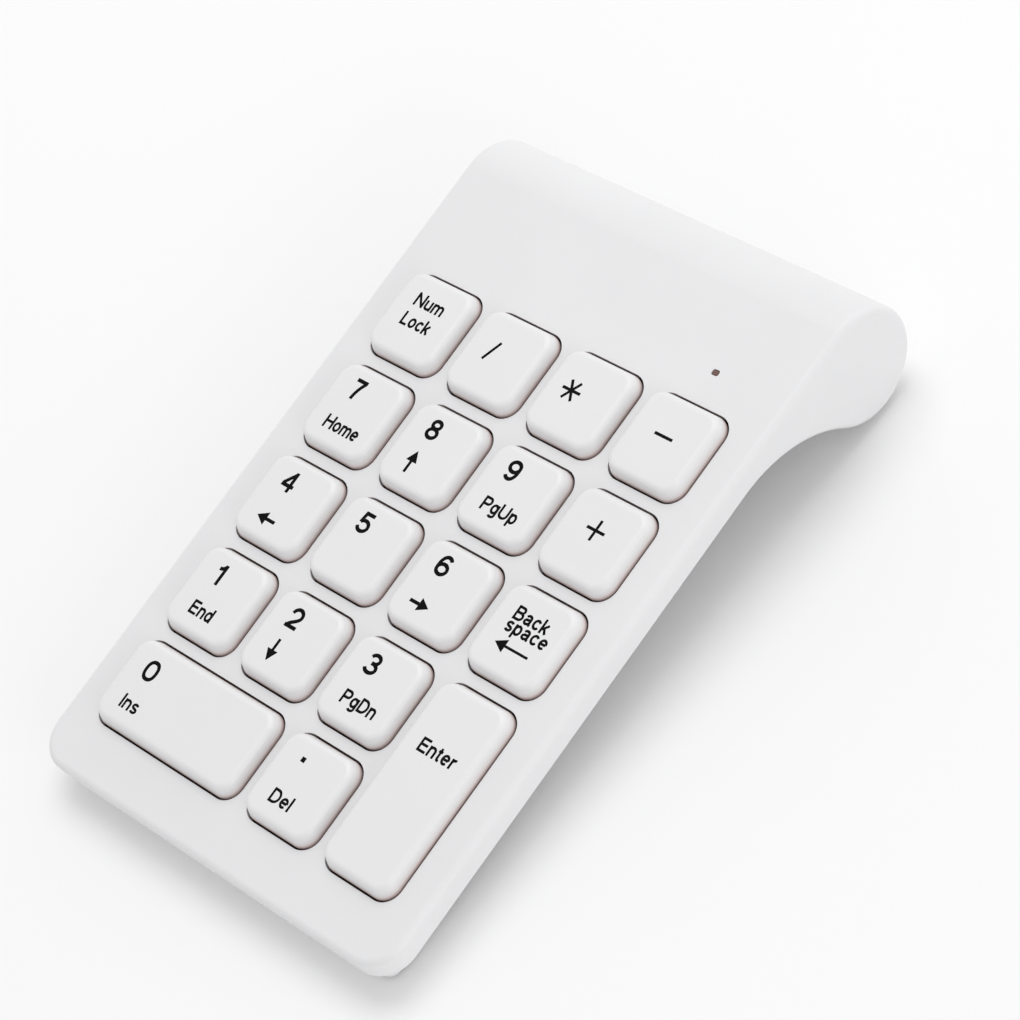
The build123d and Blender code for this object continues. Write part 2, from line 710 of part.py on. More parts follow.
# ---------------------------------------------------------------- radio receiver stored in the roll
with BuildPart() as usb_receiver_cap:
    with BuildSketch(side.offset(28.8)) as receiver_section:
        with Locations((roll_y, -10.4)):
            RectangleRounded(13.6, 6.0, 1.6)
    extrude(amount=6.8)
    fillet(usb_receiver_cap.faces().sort_by(Axis.X)[-1].edges(), 1.0)
    with BuildSketch(side.offset(18.6)) as receiver_tongue:
        with Locations((roll_y, -9.7)):
            Rectangle(11.2, 1.8)
    extrude(amount=10.4)
finish(usb_receiver_cap.part, "usb_receiver_cap")

with BuildPart() as usb_receiver_plug:
    with BuildSketch(side.offset(17.4)) as plug_section:
        with Locations((roll_y, -10.4)):
            RectangleRounded(12.0, 4.5, 0.6)
            RectangleRounded(11.3, 3.8, 0.3, mode=Mode.SUBTRACT)
    extrude(amount=11.4)
    with BuildSketch(deck.offset(-15)) as plug_windows:
        with Locations((22.0, roll_y - 2.8), (22.0, roll_y + 2.8)):
            Rectangle(2.2, 2.2)
    extrude(amount=10, mode=Mode.SUBTRACT)
finish(usb_receiver_plug.part, "usb_receiver_plug")

# ---------------------------------------------------------------- screws
with BuildPart() as case_screws:
    with BuildSketch(deck.offset(-6.82)) as screw_heads:
        with Locations(*screw_points):
            Circle(1.9)
    extrude(amount=-1.2)
    with BuildSketch(deck.offset(-6.9)) as screw_shanks:
        with Locations(*screw_points):
            Circle(1.0)
    extrude(amount=4.9)
    with BuildSketch(deck.offset(-8.02)) as screw_drives:
        with Locations(*screw_points):
            Rectangle(2.2, 0.5)
            Rectangle(0.5, 2.2)
    extrude(amount=0.6, mode=Mode.SUBTRACT)
finish(case_screws.part, "case_screws")

with BuildPart() as board_screws:
    with BuildSketch(deck.offset(board_top)) as board_heads:
        with Locations(*board_screw_points):
            Circle(1.7)
    extrude(amount=0.9)
    with BuildSketch(deck.offset(board_top + 0.1)) as board_shanks:
        with Locations(*board_screw_points):
            Circle(0.8)
    extrude(amount=-4.0)
    with BuildSketch(deck.offset(board_top + 0.9)) as board_drives:
        with Locations(*board_screw_points):
            Rectangle(2.0, 0.45)
            Rectangle(0.45, 2.0)
    extrude(amount=-0.45, mode=Mode.SUBTRACT)
finish(board_screws.part, "board_screws")

# ---------------------------------------------------------------- rubber feet, flat on the ground
floor_line = deck.offset(floor_low)
for name, x in [("foot_front_left", -26.0), ("foot_front_right", 26.0)]:
    with BuildPart() as foot:
        with BuildSketch(Plane.XY) as foot_plan:
            with Locations((x, -59.6)):
                RectangleRounded(14.0, 5.0, 1.5)
        extrude(amount=5)
        split(bisect_by=floor_line, keep=Keep.BOTTOM)
    finish(foot.part, name)

roll_world = deck.from_local_coords((0, roll_y, roll_z))
for name, x in [("foot_rear_left", -39.1), ("foot_rear_right", 39.1)]:
    with BuildPart() as foot:
        with BuildSketch(Plane.XY) as foot_plan:
            with Locations((x, roll_world.Y)):
                RectangleRounded(3.4, 7.0, 1.2)
        extrude(amount=4)
        with BuildSketch(Plane.YZ.offset(x - 5)) as roll_cut:
            with Locations((roll_world.Y, roll_world.Z)):
                Circle(roll_radius)
        extrude(amount=10, mode=Mode.SUBTRACT)
    finish(foot.part, name)
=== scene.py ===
import bmesh
import bpy
import math
from mathutils import Matrix, Vector
from mathutils.geometry import delaunay_2d_cdt


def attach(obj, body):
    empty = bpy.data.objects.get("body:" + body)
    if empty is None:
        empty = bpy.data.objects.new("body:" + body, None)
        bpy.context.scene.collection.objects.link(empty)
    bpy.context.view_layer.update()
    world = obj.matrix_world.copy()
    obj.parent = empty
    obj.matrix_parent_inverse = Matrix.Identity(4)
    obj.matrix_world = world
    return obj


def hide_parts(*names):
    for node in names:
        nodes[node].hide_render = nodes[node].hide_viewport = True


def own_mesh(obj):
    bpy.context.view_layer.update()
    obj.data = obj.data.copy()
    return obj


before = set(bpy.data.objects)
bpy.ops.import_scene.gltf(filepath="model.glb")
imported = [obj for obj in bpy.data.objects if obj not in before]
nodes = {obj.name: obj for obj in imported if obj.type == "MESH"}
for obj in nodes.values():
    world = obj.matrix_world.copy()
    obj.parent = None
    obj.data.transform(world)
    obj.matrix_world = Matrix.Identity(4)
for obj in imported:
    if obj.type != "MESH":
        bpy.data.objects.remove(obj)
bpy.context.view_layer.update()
scene = bpy.context.scene

# ---------------------------------------------------------------- the deck's frame
# x runs to the right, y to the rear along the slope and z out of the deck. Places in it are in mm.
MM = 0.001
TILT = math.radians(6.25)
DECK = Matrix.Translation((0, 18.5265 * MM, 17.85 * MM)) @ Matrix.Rotation(TILT, 4, "X")
deck_up = DECK.to_3x3() @ Vector((0, 0, 1))
KEY_TOP = 2.3            # height of the key tops over the deck
KEY_PITCH = 19.0
REAR_ROW = 8.3
COLUMNS = [-28.5, -9.5, 9.5, 28.5]
ROWS = [REAR_ROW - KEY_PITCH * row for row in range(5)]


def deck_place(x, y, z=0.0):
    """Matrix that carries a piece's own origin to a point of the deck's frame."""
    return DECK @ Matrix.Translation((x * MM, y * MM, z * MM))


# ---------------------------------------------------------------- node helpers
# Scales of noise are in waves per metre, because it is laid over positions in metres.
def material(name):
    mat = bpy.data.materials.new(name)
    mat.use_nodes = True
    tree = mat.node_tree
    shader = tree.nodes["Principled BSDF"]
    return mat, tree, shader


def node(tree, kind, **values):
    """A new node; each value goes to the socket of that name or else to the setting."""
    made = tree.nodes.new(kind)
    for key, value in values.items():
        if key in made.inputs:
            made.inputs[key].default_value = value
        else:
            setattr(made, key, value)
    return made


def noise(tree, scale, detail=2.0, rough=0.5, stretch=(1, 1, 1)):
    coords = node(tree, "ShaderNodeTexCoord")
    mapping = node(tree, "ShaderNodeMapping")
    mapping.inputs["Scale"].default_value = stretch
    tree.links.new(coords.outputs["Object"], mapping.inputs["Vector"])
    tex = node(tree, "ShaderNodeTexNoise", Scale=scale, Detail=detail, Roughness=rough)
    tree.links.new(mapping.outputs["Vector"], tex.inputs["Vector"])
    return tex.outputs["Fac"]


def ramp(tree, value, stops):
    """Colours, or single grey levels, at places between 0 and 1."""
    made = node(tree, "ShaderNodeValToRGB")
    band = made.color_ramp
    while len(band.elements) < len(stops):
        band.elements.new(0.5)
    for element, (place, colour) in zip(band.elements, stops):
        element.position = place
        element.color = (*colour, 1) if len(colour) == 3 else (colour[0],) * 3 + (1,)
    tree.links.new(value, made.inputs["Fac"])
    return made.outputs["Color"]


def shade(colour, factor):
    return tuple(min(1.0, c * factor) for c in colour)


def deck_height_ramp(tree, low, high, stops):
    """A ramp over the height above the deck, from low to high, in metres."""
    coords = node(tree, "ShaderNodeTexCoord")
    height = node(tree, "ShaderNodeVectorMath", operation="DOT_PRODUCT")
    height.inputs[1].default_value = deck_up
    tree.links.new(coords.outputs["Object"], height.inputs[0])
    start = deck_up.dot(DECK.translation)
    share = node(tree, "ShaderNodeMapRange")
    share.inputs["From Min"].default_value = start + low
    share.inputs["From Max"].default_value = start + high
    tree.links.new(height.outputs["Value"], share.inputs["Value"])
    return ramp(tree, share.outputs["Result"], stops)


def vector_math(tree, operation, first, second):
    made = node(tree, "ShaderNodeVectorMath", operation=operation)
    tree.links.new(first, made.inputs[0])
    tree.links.new(second, made.inputs[1])
    return made.outputs["Vector"]


def bumpy(tree, shader, relief, strength, depth):
    """Lay a relief, with its depth in metres, over the surface."""
    bump = node(tree, "ShaderNodeBump", Strength=strength, Distance=depth)
    tree.links.new(relief, bump.inputs["Height"])
    tree.links.new(bump.outputs["Normal"], shader.inputs["Normal"])


PAINTED_SHADE_TOP = 1.2 * MM     # height over the deck at which the painted shade on the key walls has faded out
# painted shade: warm dark at the deck, fading to white up the key walls
PAINTED_SHADE_STOPS = [(0.0, (0.56, 0.43, 0.40)), (0.4, (0.89, 0.83, 0.81)), (1.0, (1.0, 1.0, 1.0))]
POLISH = 0.05            # how far the roughness of moulded plastic swings either way


def moulded(name, colour, roughness=0.4, grain=5200.0, depth=0.006 * MM, vary=0.012, mottle=42.0,
            specular=0.5, subsurface=0.0, painted_shade=False):
    """Moulded plastic: fine eroded grain, faint mottling and patches that are a little more polished."""
    mat, tree, shader = material(name)
    tone = noise(tree, mottle, 3.0, 0.6)
    colour_out = ramp(tree, tone, [(0.3, shade(colour, 1 - vary)), (0.7, shade(colour, 1 + vary))])
    if painted_shade:
        # painted shade: the key walls are darkened with a warm tint where they go down into the case
        painted_shade_ramp = deck_height_ramp(tree, 0.0, PAINTED_SHADE_TOP, PAINTED_SHADE_STOPS)
        colour_out = vector_math(tree, "MULTIPLY", colour_out, painted_shade_ramp)
    tree.links.new(colour_out, shader.inputs["Base Color"])
    gloss = noise(tree, mottle * 2.7, 4.0, 0.65)
    rough_out = ramp(tree, gloss, [(0.25, (roughness - POLISH,)), (0.75, (roughness + POLISH,))])
    tree.links.new(rough_out, shader.inputs["Roughness"])
    bumpy(tree, shader, noise(tree, grain, 2.0, 0.55), 0.35, depth)
    shader.inputs["Specular IOR Level"].default_value = specular
    if subsurface:
        shader.inputs["Subsurface Weight"].default_value = subsurface
        shader.inputs["Subsurface Radius"].default_value = (1.0, 0.9, 0.8)
        shader.inputs["Subsurface Scale"].default_value = 0.6 * MM
    return mat


def metal(name, colour, roughness, scale=900.0):
    """Drawn or plated metal with fine scratches that run along x and slight tarnish."""
    mat, tree, shader = material(name)
    tarnish = noise(tree, 160.0, 3.0, 0.6)
    colour_out = ramp(tree, tarnish, [(0.3, shade(colour, 0.92)), (0.7, shade(colour, 1.048))])
    tree.links.new(colour_out, shader.inputs["Base Color"])
    shader.inputs["Metallic"].default_value = 1.0
    streak = noise(tree, scale, 2.0, 0.6, stretch=(1, 40, 40))
    rough_out = ramp(tree, streak, [(0.2, (max(0.05, roughness - 0.1),)), (0.8, (roughness + 0.12,))])
    tree.links.new(rough_out, shader.inputs["Roughness"])
    bumpy(tree, shader, streak, 0.15, 0.004 * MM)
    return mat


def clear(name, colour, roughness, transmission):
    """Tinted film or clear moulding with faint clouding."""
    mat, tree, shader = material(name)
    cloud = noise(tree, 700.0, 2.0, 0.5)
    colour_out = ramp(tree, cloud, [(0.3, shade(colour, 0.9)), (0.7, colour)])
    tree.links.new(colour_out, shader.inputs["Base Color"])
    rough_out = ramp(tree, cloud, [(0.3, (roughness,)), (0.7, (roughness + 0.1,))])
    tree.links.new(rough_out, shader.inputs["Roughness"])
    shader.inputs["Transmission Weight"].default_value = transmission
    shader.inputs["IOR"].default_value = 1.49
    return mat


def dress(name, mat):
    """Give a CAD node a material on every slot."""
    mesh = nodes[name].data
    mesh.materials.clear()
    mesh.materials.append(mat)


# ---------------------------------------------------------------- materials
case_plastic = moulded("case_plastic", (0.785, 0.785, 0.795), 0.42, subsurface=0.05)
# the keys' plastic carries painted shade at the foot of their walls
key_plastic = moulded("key_plastic", (0.80, 0.797, 0.805), 0.38, grain=6400.0, vary=0.008,
                      subsurface=0.05, painted_shade=True)
ink = moulded("legend_ink", (0.003, 0.003, 0.003), 0.6, grain=9000.0, vary=0.2, specular=0.06)
# the guide plate's real colour is unknown; this dark brown is partly painted shade, so the gaps round the
# keys read dark
guide_plastic_gap_shade = moulded("guide_plastic_gap_shade", (0.070, 0.030, 0.022), 0.55)
silicone = moulded("silicone", (0.72, 0.75, 0.73), 0.55, grain=2600.0, subsurface=0.2)
rubber_grey = moulded("rubber_grey", (0.46, 0.46, 0.47), 0.75, grain=2800.0, depth=0.02 * MM, vary=0.06)
rubber_black = moulded("rubber_black", (0.02, 0.02, 0.02), 0.7, grain=2800.0, depth=0.02 * MM, vary=0.1)
black_plastic = moulded("black_plastic", (0.022, 0.022, 0.024), 0.45, vary=0.08)
receiver_plastic = moulded("receiver_plastic", (0.03, 0.03, 0.032), 0.4, vary=0.06)
board_green = moulded("board_green", (0.015, 0.10, 0.035), 0.35, grain=1500.0, vary=0.15, mottle=600.0)
sleeve_dark = moulded("battery_sleeve", (0.03, 0.03, 0.035), 0.3, vary=0.1)
wire_red = moulded("wire_red", (0.42, 0.015, 0.012), 0.45, vary=0.06)
wire_black = moulded("wire_black", (0.015, 0.015, 0.015), 0.45, vary=0.06)
steel = metal("steel_sheet", (0.55, 0.56, 0.57), 0.38)
spring_steel = metal("spring_steel", (0.66, 0.65, 0.63), 0.28)
nickel = metal("nickel", (0.68, 0.67, 0.65), 0.22)
zinc = metal("zinc_screw", (0.52, 0.52, 0.53), 0.34, scale=1400.0)
film_clear = clear("polyester_film", (0.80, 0.84, 0.84), 0.2, 0.6)
led_red = clear("led_red", (0.30, 0.03, 0.02), 0.15, 0.4)
pipe_smoke = clear("light_pipe_smoke", (0.30, 0.16, 0.14), 0.18, 0.45)

finishes = {
    "top_case": case_plastic, "bottom_case": case_plastic, "battery_door": case_plastic,
    "key_guide_plate": guide_plastic_gap_shade, "rubber_dome_sheet": silicone,
    "membrane_top": film_clear, "membrane_spacer": film_clear, "membrane_bottom": film_clear,
    "backing_plate": steel, "stabilizer_wire_zero": spring_steel, "stabilizer_wire_enter": spring_steel,
    "main_board": board_green, "controller_chip": black_plastic, "crystal": steel,
    "indicator_led": led_red, "led_light_pipe": pipe_smoke, "contact_pressure_strip": rubber_black,
    "power_switch_body": black_plastic, "power_switch_knob": black_plastic,
    "battery": sleeve_dark, "battery_spring_contact": nickel, "battery_plate_contact": nickel,
    "lead_positive": wire_red, "lead_negative": wire_black,
    "usb_receiver_cap": receiver_plastic, "usb_receiver_plug": nickel,
    "case_screws": zinc, "board_screws": zinc,
}
for name in nodes:
    if name in finishes:
        dress(name, finishes[name])
    elif name.startswith("foot_"):
        dress(name, rubber_grey)
    else:
        dress(name, key_plastic)

# ---------------------------------------------------------------- legends
# Every character is drawn with its own strokes, in units of the height of a capital. A stroke is a
# centre line; it gets its thickness after the word has been stretched, so the weight stays even.
HALF = 0.075             # half a stroke's thickness in those units
CAP_TOP = 1 - HALF       # centre line of the top bar of a capital
LOW_TOP = 0.74 - HALF    # centre line of the top of small letters
LETTER_GAP = 0.105       # between two characters, in the same units
INK_LIFT = 0.004         # the print stands this far over the key top, mm
INK_SINK = 0.006         # and reaches this far into it, mm
WELD = 1e-5              # corners of outlines closer than this are one


def arc(cx, cy, rx, ry, start, end, steps=14):
    """Points on an ellipse, angles in degrees."""
    points = []
    for i in range(steps + 1):
        angle = math.radians(start + (end - start) * i / steps)
        points.append((cx + rx * math.cos(angle), cy + ry * math.sin(angle)))
    return points


def oval(cx, cy, rx, ry, square=2.0, steps=28):
    """A closed ring; square over 2 makes its sides fuller."""
    points = []
    for i in range(steps):
        angle = 2 * math.pi * i / steps
        c, s = math.cos(angle), math.sin(angle)
        points.append((cx + rx * math.copysign(abs(c) ** (2 / square), c),
                       cy + ry * math.copysign(abs(s) ** (2 / square), s)))
    return points + [points[0]]


def arch(left, right):
    """The hump of n and m."""
    middle = (left + right) / 2
    spring = 0.45        # height at which the round part starts
    round_part = arc(middle, spring, (right - left) / 2, LOW_TOP - spring, 178, 0)
    return [(left, 0.40)] + round_part + [(right, 0)]


def turned(paths, cx, cy):
    """The paths turned by half a turn about a point."""
    return [[(2 * cx - x, 2 * cy - y) for x, y in path] for path in paths]


SIX = [oval(0.355, 0.32, 0.28, 0.245),
       arc(0.365, 0.70, 0.255, 0.225, 22, 90, 8) + arc(0.365, 0.50, 0.29, 0.425, 90, 180)[1:]
       + [(0.075, 0.34)]]
# width of each character and its centre lines
GLYPHS = {
    "0": (0.82, [oval(0.41, 0.5, 0.41 - HALF, 0.5 - HALF, 2.35)]),
    "1": (0.44, [[(0.36, 0), (0.36, 1)], [(0.0, 0.75), (0.13, 0.76), (0.24, 0.81), (0.33, 0.93)]]),
    "2": (0.71, [arc(0.355, 0.655, 0.28, 0.27, 178, -28)
                 + [(0.50, 0.42), (0.34, 0.305), (0.20, 0.205), (0.10, 0.075)],
                 [(0.0, HALF), (0.70, HALF)]]),
    "3": (0.71, [arc(0.345, 0.72, 0.25, 0.205, 168, -90), arc(0.345, 0.297, 0.29, 0.222, 90, -168),
                 [(0.25, 0.517), (0.36, 0.517)]]),
    "4": (0.74, [[(0.525, 0), (0.525, 1)], [(0.52, 0.93), (0.06, 0.33)], [(0.0, 0.295), (0.74, 0.295)]]),
    "5": (0.71, [[(0.66, CAP_TOP), (0.17, CAP_TOP), (0.105, 0.46)],
                 arc(0.345, 0.335, 0.29, 0.26, 145, -166)]),
    "6": (0.71, SIX),
    "7": (0.72, [[(0.0, CAP_TOP), (0.70, CAP_TOP)],
                 [(0.62, 0.90), (0.49, 0.70), (0.39, 0.48), (0.32, 0.24), (0.285, 0)]]),
    "8": (0.72, [oval(0.36, 0.735, 0.24, 0.19), oval(0.36, 0.30, 0.285, 0.225)]),
    "9": (0.71, turned(SIX, 0.355, 0.5)),
    "N": (0.80, [[(HALF, 0), (HALF, 1)], [(0.725, 0), (0.725, 1)], [(0.09, 0.93), (0.71, 0.07)]]),
    "U": (0.78, [[(HALF, 1)] + arc(0.39, 0.36, 0.315, 0.285, 180, 360) + [(0.705, 1)]]),
    "L": (0.60, [[(HALF, 1), (HALF, HALF), (0.60, HALF)]]),
    "H": (0.80, [[(HALF, 0), (HALF, 1)], [(0.725, 0), (0.725, 1)], [(HALF, 0.525), (0.725, 0.525)]]),
    "P": (0.71, [[(HALF, 0), (HALF, 1)],
                 [(HALF, CAP_TOP), (0.42, CAP_TOP)] + arc(0.42, 0.695, 0.215, 0.23, 90, -90)[1:-1]
                 + [(0.42, 0.465), (HALF, 0.465)]]),
    "B": (0.74, [[(HALF, 0), (HALF, 1)],
                 [(HALF, CAP_TOP), (0.41, CAP_TOP)] + arc(0.41, 0.735, 0.20, 0.19, 90, -90)[1:-1]
                 + [(0.41, 0.545), (HALF, 0.545)],
                 [(0.41, 0.545)] + arc(0.43, 0.31, 0.235, 0.235, 90, -90)[1:-1]
                 + [(0.41, HALF), (HALF, HALF)]]),
    "E": (0.68, [[(0.67, CAP_TOP), (HALF, CAP_TOP), (HALF, HALF), (0.68, HALF)],
                 [(HALF, 0.525), (0.63, 0.525)]]),
    "D": (0.77, [[(HALF, 0), (HALF, 1)],
                 [(HALF, CAP_TOP), (0.35, CAP_TOP)] + arc(0.35, 0.5, 0.345, 0.425, 90, -90)[1:-1]
                 + [(0.35, HALF), (HALF, HALF)]]),
    "I": (0.15, [[(HALF, 0), (HALF, 1)]]),
    "u": (0.58, [[(HALF, 0.74)] + arc(0.275, 0.265, 0.20, 0.19, 180, 330), [(0.505, 0), (0.505, 0.74)]]),
    "m": (0.92, [[(HALF, 0), (HALF, 0.74)], arch(HALF, 0.46), arch(0.46, 0.845)]),
    "n": (0.58, [[(HALF, 0), (HALF, 0.74)], arch(HALF, 0.505)]),
    "o": (0.61, [oval(0.305, 0.37, 0.23, 0.295)]),
    "c": (0.56, [arc(0.30, 0.37, 0.225, 0.295, 36, 324, 20)]),
    "k": (0.56, [[(HALF, 0), (HALF, 1)], [(0.49, 0.71), (0.12, 0.29)], [(0.24, 0.43), (0.50, 0.02)]]),
    "e": (0.60, [[(HALF, 0.375), (0.525, 0.375)], arc(0.30, 0.37, 0.225, 0.295, 1, 314, 22)]),
    "p": (0.60, [[(HALF, -0.27), (HALF, 0.74)], oval(0.31, 0.37, 0.215, 0.295)]),
    "g": (0.60, [oval(0.29, 0.385, 0.215, 0.28),
                 [(0.525, 0.74), (0.525, -0.03)] + arc(0.30, -0.03, 0.225, 0.165, -6, -152)]),
    "a": (0.60, [arc(0.28, 0.49, 0.195, 0.175, 162, 0) + [(0.475, 0.15), (0.50, 0.08), (0.59, 0.06)],
                 [(0.475, 0.44), (0.36, 0.39)] + arc(0.245, 0.225, 0.17, 0.15, 78, 285)
                 + [(0.41, 0.13), (0.475, 0.25)]]),
    "s": (0.54, [arc(0.27, 0.52, 0.19, 0.145, 24, 238) + arc(0.27, 0.215, 0.195, 0.14, 58, -160)]),
    "d": (0.60, [[(0.525, 0), (0.525, 1)], oval(0.29, 0.37, 0.215, 0.295)]),
    "t": (0.34, [[(0.165, 0.93), (0.165, 0.19), (0.19, 0.10), (0.25, 0.07), (0.34, 0.07)],
                 [(0.0, 0.68), (0.33, 0.68)]]),
    "r": (0.38, [[(HALF, 0), (HALF, 0.74)], arc(0.315, 0.42, 0.24, 0.24, 172, 78)]),
    "l": (0.15, [[(HALF, 0), (HALF, 1)]]),
}


def ribbon(path, thick):
    """Quads that run along a centre line with an even thickness and mitred bends."""
    closed = math.dist(path[0], path[-1]) < 1e-6
    count = len(path) - 1 if closed else len(path)
    sides = []
    for i in range(count):
        before = path[(i - 1) % count] if closed or i else None
        after = path[(i + 1) % count] if closed or i < count - 1 else None
        directions = []
        for p, q in ((before, path[i]), (path[i], after)):
            if p is not None and q is not None:
                length = math.dist(p, q)
                directions.append(((q[0] - p[0]) / length, (q[1] - p[1]) / length))
        dx = sum(d[0] for d in directions)
        dy = sum(d[1] for d in directions)
        length = math.hypot(dx, dy)
        nx, ny = -dy / length, dx / length
        mitre = 1 / max(0.5, ny * directions[0][0] - nx * directions[0][1])
        reach = thick / 2 * mitre
        x, y = path[i]
        sides.append(((x + nx * reach, y + ny * reach), (x - nx * reach, y - ny * reach)))
    pairs = [(i, (i + 1) % count) for i in range(count if closed else count - 1)]
    return [[sides[i][1], sides[j][1], sides[j][0], sides[i][0]] for i, j in pairs]


def slab(label, points, faces, keep, top, thick, mat):
    """A flat plate of the cells of overlapping outlines whose owners pass keep(owners), in mm."""
    flat, _, cells, _, _, owners = delaunay_2d_cdt(points, [], faces, 0, WELD)
    bm = bmesh.new()
    verts = [bm.verts.new((p.x * MM, p.y * MM, top * MM)) for p in flat]
    for cell, owner in zip(cells, owners):
        if keep(owner):
            bm.faces.new([verts[i] for i in cell])
    bmesh.ops.delete(bm, geom=[v for v in verts if not v.link_faces], context="VERTS")
    made = bmesh.ops.extrude_face_region(bm, geom=list(bm.faces))
    lower = [item for item in made["geom"] if isinstance(item, bmesh.types.BMVert)]
    bmesh.ops.translate(bm, verts=lower, vec=(0, 0, -thick * MM))
    return closed_mesh(label, bm, mat)


def closed_mesh(label, bm, mat):
    """Turn every face outwards and make a mesh with the material."""
    bmesh.ops.recalc_face_normals(bm, faces=bm.faces)
    mesh = bpy.data.meshes.new(label)
    bm.to_mesh(mesh)
    bm.free()
    mesh.materials.append(mat)
    return mesh


def placed(label, mesh, matrix):
    """A new object of the scene."""
    piece = bpy.data.objects.new(label, mesh)
    scene.collection.objects.link(piece)
    piece.matrix_world = matrix
    return piece


def printed(body, label, outlines, x, y):
    """Print outlines, given in mm from the point (x, y) of the deck, on the top of a key."""
    points, faces = [], []
    for outline in outlines:
        area = sum(p[0] * q[1] - q[0] * p[1] for p, q in zip(outline, outline[1:] + outline[:1]))
        ordered = outline if area > 0 else outline[::-1]
        faces.append(list(range(len(points), len(points) + len(ordered))))
        points += [Vector(p) for p in ordered]
    mesh = slab(label, points, faces, bool, 0.0, INK_LIFT + INK_SINK, ink)
    piece = placed(label, mesh, deck_place(x, y, KEY_TOP + INK_LIFT))
    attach(piece, body)


def legend(body, label, text, left, baseline, cap_height, width, thick):
    """A word whose capitals have the given height, stretched to the given width, all in mm."""
    natural = sum(GLYPHS[letter][0] for letter in text) + LETTER_GAP * (len(text) - 1)
    across = (width - thick) / (natural - 2 * HALF)
    upward = (cap_height - thick) / (1 - 2 * HALF)
    outlines = []
    pen = -HALF
    for letter in text:
        advance, paths = GLYPHS[letter]
        for path in paths:
            line = []
            for px, py in path:
                # a centre line stays half a stroke inside the word's box, but an open end reaches the edge
                rise = py * cap_height if py in (0, 1) else thick / 2 + (py - HALF) * upward
                line.append((thick / 2 + (pen + px) * across, rise))
            outlines += ribbon(line, thick)
        pen += advance + LETTER_GAP
    printed(body, label, outlines, left, baseline)


def bar(x0, y0, x1, y1, thick):
    """Outline of a straight stroke."""
    return ribbon([(x0, y0), (x1, y1)], thick)[0]


def arrow(length, head, half, thick, turn):
    """Outlines of an arrow whose tip is at the origin, pointing along turn (degrees)."""
    c, s = math.cos(math.radians(turn)), math.sin(math.radians(turn))
    barb = [(0, 0), (-head, half), (-head, -half)]
    neck = -head * 0.6       # the shaft starts inside the head
    shaft = [(neck, thick / 2), (-length, thick / 2), (-length, -thick / 2), (neck, -thick / 2)]
    return [[(px * c - py * s, px * s + py * c) for px, py in outline] for outline in (barb, shaft)]


DIGIT, WORD = 3.85, 2.55     # heights of digits and of capitals in words, mm
BOLD, PLAIN = 0.69, 0.47     # stroke thickness of digits and of words, mm
SIGN = 0.54                  # stroke thickness of the signs, mm
# key, name of the piece, text, left edge and foot line on the deck, width, mm
WORDS = [
    ("key_num_lock", "print_num", "Num", -31.9, 10.0, 6.75),
    ("key_num_lock", "print_lock", "Lock", -31.9, 6.1, 6.7),
    ("key_7", "print_home", "Home", -32.15, -15.4, 8.15),
    ("key_9", "print_page_up", "PgUp", 6.05, -15.05, 7.95),
    ("key_back_space", "print_back", "Back", 24.8, -27.95, 7.5),
    ("key_back_space", "print_space", "space", 24.7, -30.2, 9.15),
    ("key_1", "print_end", "End", -31.6, -53.35, 5.4),
    ("key_3", "print_page_down", "PgDn", 6.1, -53.1, 7.85),
    ("key_enter", "print_enter", "Enter", 24.65, -53.35, 8.25),
    ("key_0", "print_insert", "Ins", -31.6, -72.4, 4.2),
    ("key_decimal", "print_delete", "Del", 6.2, -72.3, 4.85),
]
DIGITS = [
    ("key_7", "7", -31.65, -9.15, 2.75),
    ("key_8", "8", -12.75, -9.1, 2.8),
    ("key_9", "9", 6.0, -9.0, 2.85),
    ("key_4", "4", -31.75, -28.15, 2.95),
    ("key_5", "5", -12.95, -28.05, 2.85),
    ("key_6", "6", 5.95, -27.9, 2.9),
    ("key_1", "1", -31.45, -47.3, 1.7),
    ("key_2", "2", -12.85, -47.2, 2.85),
    ("key_3", "3", 6.05, -47.2, 2.9),
    ("key_0", "0", -31.65, -66.7, 3.15),
]
for body, label, text, left, baseline, width in WORDS:
    legend(body, label, text, left, baseline, WORD, width, PLAIN)
for body, text, left, baseline, width in DIGITS:
    legend(body, "print_" + text, text, left, baseline, DIGIT, width, BOLD)
printed("key_divide", "print_divide", [bar(-0.80, -1.9, 0.80, 1.9, SIGN)], -11.45, 8.95)
printed("key_minus", "print_minus", [bar(-1.95, 0, 1.95, 0, SIGN)], 28.3, 9.0)
printed("key_plus", "print_plus", [bar(-1.95, 0, 1.95, 0, SIGN), bar(0, -1.9, 0, 1.9, SIGN)], 28.3, -9.4)
star = [bar(-2.0, 0, 2.0, 0, SIGN), bar(-1.05, -1.75, 1.05, 1.75, SIGN), bar(1.05, -1.75, -1.05, 1.75, SIGN)]
printed("key_multiply", "print_multiply", star, 7.36, 9.0)
printed("key_8", "print_up", arrow(4.2, 2.1, 1.2, 0.58, 90), -11.4, -11.5)
printed("key_2", "print_down", arrow(4.2, 2.1, 1.2, 0.58, -90), -11.45, -53.6)
printed("key_4", "print_left", arrow(4.3, 2.2, 1.25, 0.62, 180), -31.85, -33.55)
printed("key_6", "print_right", arrow(4.3, 2.2, 1.2, 0.62, 0), 10.05, -33.3)
printed("key_back_space", "print_back_arrow", arrow(7.4, 2.3, 1.2, 0.46, 180), 24.8, -32.35)
point = [(-0.45, -0.45), (0.45, -0.45), (0.45, 0.45), (-0.45, 0.45)]
printed("key_decimal", "print_point", [point], 7.45, -63.9)
